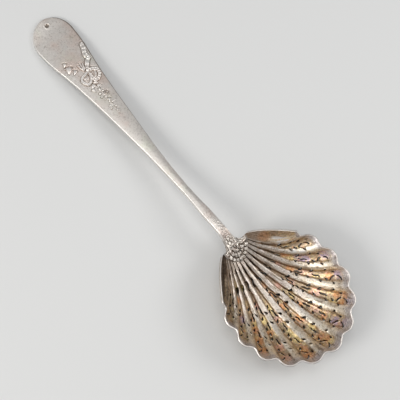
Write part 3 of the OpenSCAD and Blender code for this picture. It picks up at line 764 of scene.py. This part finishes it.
def relief_height(x, y):
    h = np.zeros(x.shape)
    for line, *form in BANDS:
        h = band(h, line, x, y, *form)
    for place, angle, length, width in LEAVES:
        h = leaf(h, place, angle, length * LEAF_GROW, width * LEAF_GROW, x, y, LEAF_H, 0.3)
    for place, size, ring in BERRIES:
        h = berry(h, place, size, x, y, LEAF_H, ring)
    for places, size, high in (([KNOT], 1.25, RIBBON_H * 1.15), (NECK_BEADS, 0.6, 0.16),
                               (NECK_GRAINS, 0.9, 0.14)):
        for place in places:
            h = berry(h, place, size, x, y, high)
    for place, angle, length, width in JOINT_LEAVES:
        h = leaf(h, place, angle, length, width, x, y, 0.32, 0.5)
    r = np.hypot(x - DIMPLE[0], y - DIMPLE[1]) / (DIMPLE_W / 2)
    h = h - 0.3 * smooth((1.15 - r) / 0.6) + 0.08 * bell(r, 1.3, 0.2)
    return h


SHARP_EDGE = math.radians(62)  # the handle's and the joint's edges are crisp where they turn by more
FACE_COLUMNS = 120
BEVEL_STEPS, EDGE_SOFT = 4, 0.36


def build_handle():
    tip = END_ROUND / HANDLE_LEN * (1 - np.cos(np.linspace(0.07, math.pi / 2, 44)))
    carved = np.arange(END_ROUND + 0.16, 51, 0.16) / HANDLE_LEN
    neck = [np.linspace(51, 100, 120)[:-1], np.linspace(100, HANDLE_LEN, 120)]
    neck = np.concatenate(neck) / HANDLE_LEN
    s = np.concatenate([tip, carved, neck])
    w, z, t = handle_half_w(s), handle_top(s), handle_thick(s)
    b = np.minimum(np.minimum(EDGE_SOFT, w / 3), t / 3)
    fall = CROWN * END_T
    rings, forms = [], []

    def ring(y, zz, height, edge):
        rings.append(np.stack([handle_x(s), handle_side(s) + y, zz], -1))
        side = np.full(len(s), float(edge))
        # across also places the painted shade along the handle's +Y edge
        across = y / np.maximum(w, 0.1) * 0.5 + 0.5
        forms.append(np.stack([np.clip(0.5 + height, 0, 1), s, side, across], -1))

    def bevel(side, upper, k):
        a = math.pi / 2 * k / BEVEL_STEPS
        out, up = (math.sin(a), math.cos(a)) if upper else (math.cos(a), math.sin(a))
        level = z - fall - b * (1 - up) if upper else z - t + b * (1 - up)
        # Edge share 1 marks the bevels for a painted highlight
        ring(side * (w - b + b * out), level, 0 * s, 1 if upper or k < 2 else 0)

    for k in np.linspace(-1, 1, FACE_COLUMNS):
        y = k * (w - b)
        h = relief_height(s * HANDLE_LEN, y)
        inset = smooth((w - b - np.abs(y)) / 0.5)
        ring(y, z - fall * k * k + h * inset, h * inset, 0)
    for k in range(1, BEVEL_STEPS + 1):
        bevel(1, True, k)
    for k in range(BEVEL_STEPS + 1):
        bevel(1, False, k)
    for k in np.linspace(0.9, -0.9, 15):
        ring(k * (w - b), z - t, 0 * s, 0)
    for k in range(BEVEL_STEPS, -1, -1):
        bevel(-1, False, k)
    for k in range(BEVEL_STEPS, 0, -1):
        bevel(-1, True, k)
    points = np.stack(rings, 1)
    points[..., 2] = np.maximum(points[..., 2], 0)
    form = np.stack(forms, 1)
    n, m = points.shape[:2]
    index = np.arange(n * m).reshape(n, m)
    nxt = np.roll(index, -1, axis=1)
    quads = np.stack([index[:-1], nxt[:-1], nxt[1:], index[1:]], -1).reshape(-1, 4)
    faces = [tuple(q) for q in quads] + [tuple(index[0][::-1]), tuple(index[-1])]
    piece = make_mesh("spoon_handle", points.reshape(-1, 3), faces, form.reshape(-1, 4))
    piece.data.set_sharp_from_angle(angle=SHARP_EDGE)
    return piece


# ---- The joint ----
def pad_surface(u, v, length, width, outline, lift):
    """Points over the plain pad: u from the hinge edge in, v from -1 to 1 across."""
    x = HINGE_X + u * length
    y = v * width / 2 * table(outline, u)
    normal = crest_normal(x, y)
    normal[..., 0] *= smooth(u / 0.35)
    p = np.stack([x, y, crest_z(x, y)], -1) + lift[..., None] * normal
    p[..., 0] = np.maximum(p[..., 0], HINGE_X)
    return p


def closed_sheet(name, top, under, form):
    """A closed mesh between two grids of points."""
    n, m = top.shape[:2]
    index = np.arange(n * m).reshape(n, m)
    quads = np.stack([index[:-1, :-1], index[1:, :-1], index[1:, 1:], index[:-1, 1:]], -1)
    quads = quads.reshape(-1, 4)
    faces = [tuple(q) for q in quads] + [tuple(q[::-1] + n * m) for q in quads]
    rim = np.concatenate([index[0, :-1], index[:-1, -1], index[-1, :0:-1], index[:0:-1, 0]])
    for a, b in zip(rim, np.roll(rim, -1)):
        faces.append((a, b, b + n * m, a + n * m))
    points = np.concatenate([top.reshape(-1, 3), under.reshape(-1, 3)])
    sheet = make_mesh(name, points, faces, np.concatenate([form.reshape(-1, 4)] * 2))
    sheet.data.set_sharp_from_angle(angle=SHARP_EDGE)
    return sheet


SCROLL_HIGH = 0.58
ORNAMENT_EDGE = [(0, 0.99), (0.15, 1), (0.35, 0.97), (0.55, 0.82), (0.75, 0.58), (0.9, 0.34), (1, 0.1)]
# Rows of cast leaves that spread from the handle: count, share of the way out, length, width, lean
LEAF_ROWS = [(10, 0.82, 2.2, 1.15, 8), (8, 0.52, 1.9, 1.0, -28), (6, 0.26, 1.5, 0.85, 35)]
HINGE_LEAVES = [(0.55, 0.9 * k, 0.8) for k in range(-6, 7)]
LEAF_FAN = 84  # degrees to each side


def leaf_rows():
    """Places, directions and sizes of the ornament's leaves, a little uneven as in hand work."""
    leaves = []
    for count, out, length, width, lean in LEAF_ROWS:
        for k in range(count):
            a = math.radians(LEAF_FAN * (2 * k / (count - 1) - 1))
            uneven = 1 + 0.12 * math.sin(5 * k + 9 * out)
            x, y = ORNAMENT_LEN * out * math.cos(a), ORNAMENT_W / 2 * out * math.sin(a)
            turn = math.degrees(a) + lean * (1 if k % 2 else -0.6)
            leaves.append(((x + 0.35, y), turn, length * uneven, width * uneven))
    return leaves


def build_ornament():
    u, v = np.meshgrid(np.linspace(0, 1, 110), np.linspace(-1, 1, 170), indexing="ij")
    x, y = u * ORNAMENT_LEN, v * ORNAMENT_W / 2 * table(ORNAMENT_EDGE, u)
    h = 0.2 + 0.1 * np.sin(8 * x + 3 * np.cos(2 * y)) * np.sin(7 * y + 2 * np.sin(3 * x))
    for cx, cy, size in HINGE_LEAVES:
        turn = math.degrees(math.atan2(cy, cx + 2))
        h = leaf(h, (cx, cy), turn, size * 1.5, size, x, y, SCROLL_HIGH * 0.8, 0.35)
    for place, turn, length, width in leaf_rows():
        h = leaf(h, place, turn, length, width, x, y, SCROLL_HIGH, 0.5)
    edge = np.minimum(smooth((1 - np.abs(v)) / 0.07), smooth((1 - u) / 0.06))
    base = ORNAMENT_T * mix(0.5, 0.22, u) * (1 - 0.35 * v * v)
    lift = FILM + 0.04 + (base + h) * mix(0.25, 1, edge)
    lift = np.minimum(lift, FILM + ORNAMENT_T)
    zero = np.full(u.shape, FILM)
    form = np.stack([mix(0.5, np.clip(h / SCROLL_HIGH, 0, 1), edge), u, edge, v * 0.5 + 0.5], -1)
    top = pad_surface(u, v, ORNAMENT_LEN, ORNAMENT_W, ORNAMENT_EDGE, lift)
    under = pad_surface(u, v, ORNAMENT_LEN, ORNAMENT_W, ORNAMENT_EDGE, zero)
    return closed_sheet("joint_scroll_ornament", top, under, form)


DROP_EDGE = [(0, 1), (0.3, 0.95), (0.6, 0.78), (0.85, 0.45), (1, 0.12)]


def build_back_drop():
    u, v = np.meshgrid(np.linspace(0, 1, 50), np.linspace(-1, 1, 60), indexing="ij")
    near = np.full(u.shape, -SHEET - FILM)
    round_off = np.minimum(smooth((1 - np.abs(v)) / 0.3), smooth((1 - u) / 0.25))
    far = near - DROP_PLATE_T * mix(1, 0.4, u) * (1.5 - v * v) / 1.5 * mix(0.55, 1, round_off)
    form = np.stack([0.5 + 0 * u, u, 0 * u, v * 0.5 + 0.5], -1)
    top = pad_surface(u, v, DROP_PLATE_LEN, DROP_PLATE_W, DROP_EDGE, near)
    under = pad_surface(u, v, DROP_PLATE_LEN, DROP_PLATE_W, DROP_EDGE, far)
    return closed_sheet("back_drop_plate", top, under, form)


def build_solder():
    """Two small concave fillets between the handle's sides and the hinge edge."""
    points, faces = [], []
    z0, z1 = JOINT_TOP - NECK_T + EDGE_BEVEL, JOINT_TOP - EDGE_BEVEL
    w = float(handle_half_w(np.array(1.0))) + FILM
    arc = [math.pi / 2 * k / 12 for k in range(13)]
    for side in (-1, 1):
        flat = [(0.0, 0.0)] + [
            (-SOLDER_W * (1 - math.sin(a)), SOLDER_W * (1 - math.cos(a))) for a in arc
        ]
        flat = [(HINGE_X - FILM + x, side * (w + y)) for x, y in flat]
        if side < 0:
            flat.reverse()
        first = len(points)
        n = len(flat)
        points += [(x, y, z0) for x, y in flat] + [(x, y, z1) for x, y in flat]
        faces.append(tuple(first + k for k in range(n)))
        faces.append(tuple(first + n + k for k in reversed(range(n))))
        for k in range(n):
            m = (k + 1) % n
            faces.append((first + m, first + k, first + n + k, first + n + m))
    return make_mesh("solder_fillets", points, faces, smooth_shading=False)


# ---- Materials ----
class Graph:
    """Short forms for the node tree of one material."""

    def __init__(self, name):
        self.material = bpy.data.materials.new(name)
        self.material.use_nodes = True
        self.tree = self.material.node_tree
        self.tree.nodes.clear()
        out = self.node("ShaderNodeOutputMaterial")
        self.shader = self.node("ShaderNodeBsdfPrincipled")
        self.tree.links.new(self.shader.outputs[0], out.inputs[0])

    def node(self, kind, **values):
        n = self.tree.nodes.new(kind)
        for key, value in values.items():
            setattr(n, key, value)
        return n

    def set(self, socket, value):
        if isinstance(value, bpy.types.NodeSocket):
            self.tree.links.new(value, socket)
        else:
            socket.default_value = value

    def form(self, label="form"):
        attr = self.node("ShaderNodeAttribute", attribute_name=label)
        split = self.node("ShaderNodeSeparateColor")
        self.set(split.inputs[0], attr.outputs["Color"])
        return split.outputs[0], split.outputs[1], split.outputs[2], attr.outputs["Alpha"]

    def noise(self, size_mm, detail=3.0, rough=0.55, seed=0.0):
        n = self.node("ShaderNodeTexNoise", noise_dimensions="4D")
        self.set(n.inputs["W"], seed)
        self.set(n.inputs["Scale"], 1.0 / (size_mm * MM))
        self.set(n.inputs["Detail"], detail)
        self.set(n.inputs["Roughness"], rough)
        self.set(n.inputs["Vector"], self.node("ShaderNodeTexCoord").outputs["Object"])
        return n.outputs["Fac"]

    def math(self, operation, a, b=0.0):
        n = self.node("ShaderNodeMath", operation=operation)
        for socket, value in zip(n.inputs, (a, b)):
            self.set(socket, value)
        return n.outputs[0]

    def times(self, a, b):
        return self.math("MULTIPLY", a, b)

    def ramp(self, value, low, high, out_low=0.0, out_high=1.0):
        n = self.node("ShaderNodeMapRange", interpolation_type="SMOOTHSTEP")
        for socket, v in zip(n.inputs, (value, low, high, out_low, out_high)):
            self.set(socket, v)
        return n.outputs[0]

    def mix(self, share, a, b):
        n = self.node("ShaderNodeMix", data_type="RGBA")
        self.set(n.inputs["Factor"], share)
        self.set(n.inputs[6], (*a, 1.0) if isinstance(a, tuple) else a)
        self.set(n.inputs[7], (*b, 1.0) if isinstance(b, tuple) else b)
        return n.outputs[2]

    def over(self, colour, rows):
        """Tones laid over a colour: (mask, its value for none, its value for most, most, tone)."""
        for value, none, full, most, tone in rows:
            colour = self.mix(self.ramp(value, none, full, 0.0, most), colour, tone)
        return colour

    def bump(self, height, strength, distance_mm):
        n = self.node("ShaderNodeBump")
        self.set(n.inputs["Height"], height)
        self.set(n.inputs["Strength"], strength)
        self.set(n.inputs["Distance"], distance_mm * MM)
        return n.outputs[0]

    def finish(self, colour, rough, normal):
        values = {"Base Color": colour, "Roughness": rough, "Metallic": 1.0, "Normal": normal}
        for name, value in values.items():
            self.set(self.shader.inputs[name], value)
        return self.material


SILVER = (0.66, 0.62, 0.575)
# Bright silver; on the handle's bevels it stands as a painted highlight
SILVER_BRIGHT = (0.86, 0.83, 0.79)
SILVER_PALE = (0.62, 0.565, 0.505)
SILVER_PINK = (0.64, 0.54, 0.48)
SILVER_GREEN = (0.63, 0.64, 0.54)
# Tarnish; also laid as painted shade along the handle's +Y edge and in the creases at the feet of the
# bowl's ridges
TARNISH_AND_SHADE = (0.13, 0.09, 0.06)
# Darkest tarnish, laid with painted shade in the flutes' roots and over one wing
DARK_SHADE_AND_TARNISH = (0.035, 0.024, 0.018)
# Near-black painted shade inside the piercings
HOLE_SHADE = (0.010, 0.008, 0.006)
GILT_PALE = (0.56, 0.48, 0.39)
GILT_KHAKI = (0.74, 0.62, 0.44)
GILT_ORANGE = (0.70, 0.34, 0.15)
GILT_GOLD = (0.88, 0.70, 0.33)
GILT_PINK = (0.74, 0.46, 0.38)
GILT_VIOLET = (0.50, 0.38, 0.52)
GILT_BROWN = (0.30, 0.21, 0.14)
LAVENDER = (0.50, 0.47, 0.49)
GILT_CREAM = (0.44, 0.33, 0.21)
GILT_DEEP = (0.46, 0.34, 0.22)
# Warm silver of the outer ridge crests: partly worn silver, partly a painted highlight
SILVER_WARM_SHEEN = (0.84, 0.77, 0.65)
ARC_WAVES = 560.0  # fine arcs chased along the rim, in radians over the length of a flute
CAST_DEEP, CAST_HIGH = (0.12, 0.095, 0.075), (0.70, 0.65, 0.59)
CAST_FROM = (0.96, 0.975)  # where the handle turns into the cast joint, as shares of its length


def cast_colour(g, high):
    """Cast silver: bright on the tops of the relief, and dark with tarnish in its hollows."""
    return g.over(g.mix(g.ramp(high, 0.05, 0.75), CAST_DEEP, CAST_HIGH), [
        (g.noise(1.5, seed=21), 0.5, 0.7, 0.5, SILVER_PINK),
        (g.noise(0.4, 4, 0.7, seed=24), 0.5, 0.75, 0.6, CAST_DEEP),
    ])


def silver_material(name):
    g = Graph(name)
    cavity, along, edge, across = g.form()
    colour = g.over(SILVER, [
        (g.noise(9, seed=1), 0.42, 0.68, 1, SILVER_PINK),
        (g.noise(7, seed=2), 0.5, 0.72, 0.55, SILVER_GREEN),
        (g.noise(0.7, 5, 0.8, seed=3), 0.5, 0.68, 0.5, TARNISH_AND_SHADE),
        (g.noise(0.45, 3, 0.7, seed=7), 0.52, 0.75, 0.45, SILVER_BRIGHT),
        (cavity, 0.49, 0.38, 0.75, TARNISH_AND_SHADE),
        (cavity, 0.56, 0.8, 0.6, SILVER_BRIGHT),
        # painted highlight along the bevels
        (edge, 0.2, 0.9, 0.75, SILVER_BRIGHT),
        # painted shade along the handle's +Y edge
        (across, 0.955, 0.99, 0.85, TARNISH_AND_SHADE),
        (along, *CAST_FROM, 1, cast_colour(g, g.ramp(cavity, 0.25, 0.78))),
    ])
    rough = g.ramp(g.noise(1.2, 4, 0.6, seed=4), 0.3, 0.7, 0.38, 0.5)
    height = g.math("ADD", g.noise(0.3, 3, 0.6, seed=5), g.times(g.noise(1.6, seed=6), 0.7))
    return g.finish(colour, rough, g.bump(height, 0.6, 0.07))


def gilt_material(name):
    g = Graph(name)
    crest, along, edge, shade_and_tarnish = g.form()
    orange, gold, pink, violet = g.form("tint")
    broad, fine, lines, rim = g.form("wear_and_sheen")
    valley = g.ramp(crest, 0.85, 0.35)
    # The base is worn silver on the ridges, and warmer in the flutes and towards the rim. The flutes
    # are also darker than the ridges, most near the hinge: partly tarnish, partly painted shade in the
    # hollows
    colour = g.mix(g.ramp(g.noise(4, 3, 0.6, seed=10), 0.35, 0.65), GILT_PALE, SILVER_PINK)
    flutes = g.mix(g.ramp(along, 0.3, 0.6), GILT_BROWN, GILT_DEEP)
    colour = g.mix(g.ramp(crest, 0.5, 0.95), flutes, colour)
    warm = g.times(g.ramp(along, 0.4, 0.8), g.ramp(g.noise(3, 3, 0.6, seed=11), 0.25, 0.65))
    colour = g.mix(warm, colour, g.mix(valley, GILT_KHAKI, GILT_CREAM))
    colour = g.mix(g.ramp(broad, 0.5, 0.85, 0, 0.3), colour, GILT_BROWN)
    # Paler crests: partly bare worn silver, partly a painted highlight along the ridges, brightest
    # towards the rim
    pale = g.times(g.ramp(fine, 0.66, 0.34, 0.15, 0.9), g.ramp(crest, 0.6, 0.95, 0.12, 1))
    colour = g.mix(pale, colour, g.mix(g.ramp(along, 0.62, 0.85), SILVER_PALE, SILVER_WARM_SHEEN))
    # Patches of gilding, with broken edges
    broken = g.times(g.noise(0.9, 4, 0.7, seed=12), 0.9)
    for share, tone, most in ((gold, GILT_GOLD, 0.9), (orange, GILT_ORANGE, 0.9),
                              (pink, GILT_PINK, 0.8), (violet, GILT_VIOLET, 0.75)):
        spot = g.ramp(g.math("ADD", share, broken), 0.6, 1.2, 0, most)
        colour = g.mix(g.times(spot, valley), colour, tone)
    loose_from = g.ramp(along, 0.3, 0.6)
    for seed, tone, low in ((13, GILT_ORANGE, 0.54), (14, GILT_GOLD, 0.52), (25, GILT_PINK, 0.56)):
        loose = g.ramp(g.noise(1.3, 4, 0.65, seed=seed), low, low + 0.1, 0, 0.6)
        colour = g.mix(g.times(g.times(loose, valley), loose_from), colour, tone)
    colour = g.mix(g.ramp(along, 0.945, 0.98, 0, 0.8), colour, LAVENDER)
    arcs = g.ramp(g.math("SINE", g.times(along, ARC_WAVES)), 0.1, 0.9, 0, 0.5)
    colour = g.mix(g.times(arcs, g.ramp(along, 0.93, 0.95)), colour, SILVER_BRIGHT)
    # Tarnish in fine specks; thin dark lines along the feet of the ridges, partly tarnish and partly
    # painted shade in the creases; and the mask of painted shade and tarnish
    mottle = g.noise(0.55, 5, 0.8, seed=15)
    foot_shade_and_tarnish = g.times(g.ramp(crest, 0.02, 0.16), g.ramp(crest, 0.5, 0.24))
    foot_shade_and_tarnish = g.times(foot_shade_and_tarnish, g.ramp(g.noise(1.3, 3, 0.6, seed=16), 0.42, 0.6, 0, 0.85))
    foot_shade_and_tarnish = g.times(foot_shade_and_tarnish, g.ramp(along, 0.95, 0.6, 0.25, 1))
    colour = g.over(colour, [(mottle, 0.5, 0.64, 0.75, TARNISH_AND_SHADE),
                             (mottle, 0.47, 0.36, 0.4, SILVER_BRIGHT)])
    colour = g.mix(foot_shade_and_tarnish, colour, TARNISH_AND_SHADE)
    colour = g.mix(g.ramp(fine, 0.6, 0.85, 0, 0.7), colour, TARNISH_AND_SHADE)
    streak = g.times(g.ramp(lines, 0.7, 0.86, 0, 0.6), g.ramp(along, 0.75, 0.45))
    colour = g.mix(streak, colour, TARNISH_AND_SHADE)
    # Painted shade with tarnish where that mask is high; near-black painted shade in the piercings and
    # at their edges; bright silver on the rim's outer edge, and as a painted highlight along the hinge
    # edge and on the wing
    dark = g.math("ADD", shade_and_tarnish, g.times(g.noise(0.8, 3, 0.6, seed=17), 0.6))
    colour = g.over(colour, [(dark, 0.5, 1.0, 1, DARK_SHADE_AND_TARNISH), (edge, 0.0, 0.4, 1, HOLE_SHADE),
                             (rim, 0.3, 0.9, 1, SILVER)])
    rough = g.ramp(g.noise(1.0, 4, 0.6, seed=18), 0.3, 0.7, 0.3, 0.46)
    uneven = g.times(g.noise(1.3, 4, 0.7, seed=20), 1.4)
    height = g.math("ADD", g.noise(0.35, 3, 0.6, seed=19), uneven)
    return g.finish(colour, rough, g.bump(height, 0.8, 0.12))


def cast_material(name):
    g = Graph(name)
    high = g.form()[0]
    rough = g.ramp(g.noise(0.6, 4, 0.6, seed=22), 0.3, 0.7, 0.28, 0.44)
    return g.finish(cast_colour(g, high), rough, g.bump(g.noise(0.3, 4, 0.6, seed=23), 0.5, 0.06))


def solder_material(name):
    g = Graph(name)
    colour = g.mix(g.noise(0.8, seed=31), SILVER, GILT_BROWN)
    return g.finish(colour, 0.42, g.bump(g.noise(0.3, seed=32), 0.3, 0.05))


# ---- The pieces ----
for build, look, node, slot in (
    (build_bowl, gilt_material("worn_gilt_silver_look"), "bowl", "worn_gilt_silver"),
    (build_handle, silver_material("tarnished_silver_look"), "handle", "tarnished_silver"),
    (build_ornament, cast_material("cast_silver_look"), "hinge_ornament", "cast_silver"),
    (build_back_drop, solder_material("back_drop_look"), "back_drop", "tarnished_silver"),
    (build_solder, solder_material("silver_solder_look"), "solder_seam", "silver_solder"),
):
    piece = build()
    piece.data.materials.append(look)
    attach(piece, "root")
    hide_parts(node)

# ---- Floor, light and camera ----
FLOOR_HALF = 1.5
FLOOR_COLOUR = (0.62, 0.62, 0.61, 1)
floor_mesh = bpy.data.meshes.new("floor")
corners = [(x * FLOOR_HALF, y * FLOOR_HALF, 0) for x, y in ((-1, -1), (1, -1), (1, 1), (-1, 1))]
floor_mesh.from_pydata(corners, [], [(0, 1, 2, 3)])
floor = placed("floor", floor_mesh)
floor_look = bpy.data.materials.new("floor_look")
floor_look.use_nodes = True
floor_shader = floor_look.node_tree.nodes["Principled BSDF"]
floor_shader.inputs["Base Color"].default_value = FLOOR_COLOUR
floor_shader.inputs["Roughness"].default_value = 0.8
floor_mesh.materials.append(floor_look)

TARGET = Vector((-0.0493, 0.0060, 0.0))
TO_CAMERA = Vector((0.0779, -0.3020, 1.0)).normalized()
DISTANCE = 0.4974
UP_ANGLE = math.radians(135.1)
FOCAL_PX, PICTURE_PX, SENSOR = 1295.0, 400.0, 36.0
image_up = Vector((math.cos(UP_ANGLE), math.sin(UP_ANGLE), 0))
image_up = (image_up - image_up.dot(TO_CAMERA) * TO_CAMERA).normalized()
image_right = image_up.cross(TO_CAMERA)
camera_data = bpy.data.cameras.new("camera")
camera_data.sensor_width = SENSOR
camera_data.lens = FOCAL_PX / PICTURE_PX * SENSOR
camera_data.clip_start = 0.01
camera = placed("camera", camera_data)
turn = Matrix((image_right, image_up, TO_CAMERA)).transposed().to_4x4()
camera.matrix_world = Matrix.Translation(TARGET + TO_CAMERA * DISTANCE) @ turn
bpy.context.scene.camera = camera


def area_light(name, right, up, high, size, watts, colour=(1, 1, 1)):
    """A soft light placed by its distance right of and above the picture's middle, and its height."""
    data = bpy.data.lights.new(name, "AREA")
    data.shape = "DISK"
    data.size = size
    data.energy = watts
    data.color = colour
    lamp = placed(name, data)
    flat_right = Vector((image_right.x, image_right.y, 0)).normalized()
    flat_up = Vector((image_up.x, image_up.y, 0)).normalized()
    lamp.location = TARGET + flat_right * right + flat_up * up + Vector((0, 0, high))
    lamp.rotation_euler = (TARGET - lamp.location).to_track_quat("-Z", "Y").to_euler()


area_light("window", -0.50, -0.30, 0.46, 0.26, 2.1, (1.0, 0.985, 0.96))
area_light("fill", 0.46, 0.06, 0.42, 0.34, 1.2)
area_light("overhead", -0.10, 0.02, 0.80, 0.30, 0.9)

# The room: bright towards the window at the lower left of the picture, dim on the other side
ROOM_BRIGHT, ROOM_DIM = 0.70, 0.40
world = bpy.data.worlds.new("room")
bpy.context.scene.world = world
world.use_nodes = True
room = world.node_tree
background = room.nodes["Background"]
background.inputs["Color"].default_value = (0.97, 0.98, 1.0, 1)
place = room.nodes.new("ShaderNodeTexCoord")
towards = room.nodes.new("ShaderNodeVectorMath")
towards.operation = "DOT_PRODUCT"
towards.inputs[1].default_value = Vector((-0.45, -0.75, 0.5)).normalized()
room.links.new(place.outputs["Generated"], towards.inputs[0])
glow = room.nodes.new("ShaderNodeMapRange")
glow.interpolation_type = "SMOOTHSTEP"
for name, value in (("From Min", -0.45), ("From Max", 0.85),
                    ("To Min", ROOM_DIM), ("To Max", ROOM_BRIGHT)):
    glow.inputs[name].default_value = value
room.links.new(towards.outputs["Value"], glow.inputs["Value"])
room.links.new(glow.outputs["Result"], background.inputs["Strength"])
bpy.context.scene.view_settings.view_transform = "Standard"
